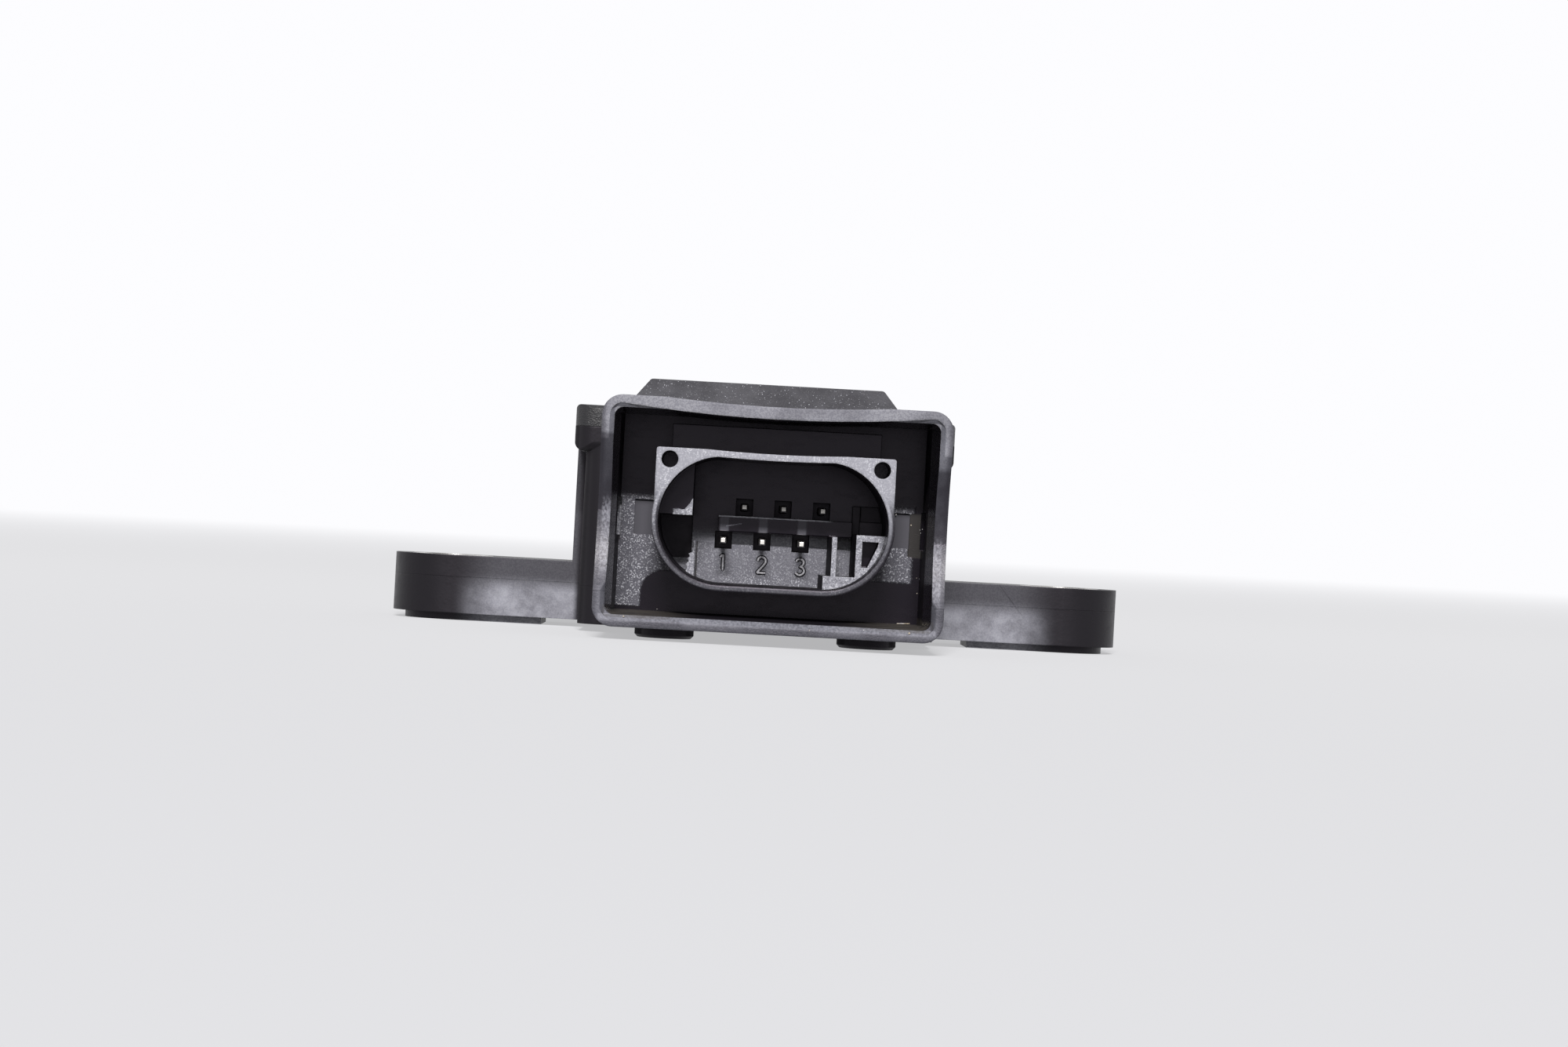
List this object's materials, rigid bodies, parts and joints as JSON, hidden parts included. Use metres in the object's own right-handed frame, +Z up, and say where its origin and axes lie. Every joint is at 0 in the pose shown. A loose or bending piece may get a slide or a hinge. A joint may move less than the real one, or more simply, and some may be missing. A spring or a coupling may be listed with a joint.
{
  "type": "acceleration sensor",
  "caption": "Black moulded car acceleration sensor with a sealed pin socket, two bushed bolt ears and a lid over its circuit board.",
  "frame": {"origin": "midway between the two bolt holes, on the mounting plane under the ears and feet", "axes": "+X along the ears, to the right when looking into the socket; the socket opens towards -Y; +Z up, along the bolts, from the mounting plane to the lid"},
  "size_m": [0.0784, 0.0583, 0.0267],
  "materials": {
    "housing_plastic": "spark-eroded satin black",
    "lid_plastic": "satin black",
    "seal_rubber": "matte",
    "bush_steel": "zinc plated",
    "tinned_brass": "tin plated",
    "board_green": "solder mask",
    "screw_steel": "plain",
    "chip_black": "matte",
    "can_metal": "satin",
    "ceramic_tan": "matte",
    "ferrite_grey": "matte"
  },
  "bodies": {
    "root": {"housing": "housing_plastic", "lid": "lid_plastic", "lid_seal": "seal_rubber", "left_bush": "bush_steel", "right_bush": "bush_steel", "pin_1": "tinned_brass", "pin_2": "tinned_brass", "pin_3": "tinned_brass", "pin_4": "tinned_brass", "pin_5": "tinned_brass", "pin_6": "tinned_brass", "circuit_board": "board_green", "board_screws": "screw_steel", "accelerometer": "chip_black", "signal_processor": "chip_black", "voltage_regulator": "chip_black", "bus_transceiver": "chip_black", "crystal": "can_metal", "ceramic_capacitors": "ceramic_tan", "chip_resistors": "chip_black", "buffer_capacitors": "can_metal", "protection_diode": "chip_black", "bus_choke": "ferrite_grey"}
  },
  "joints": []
}
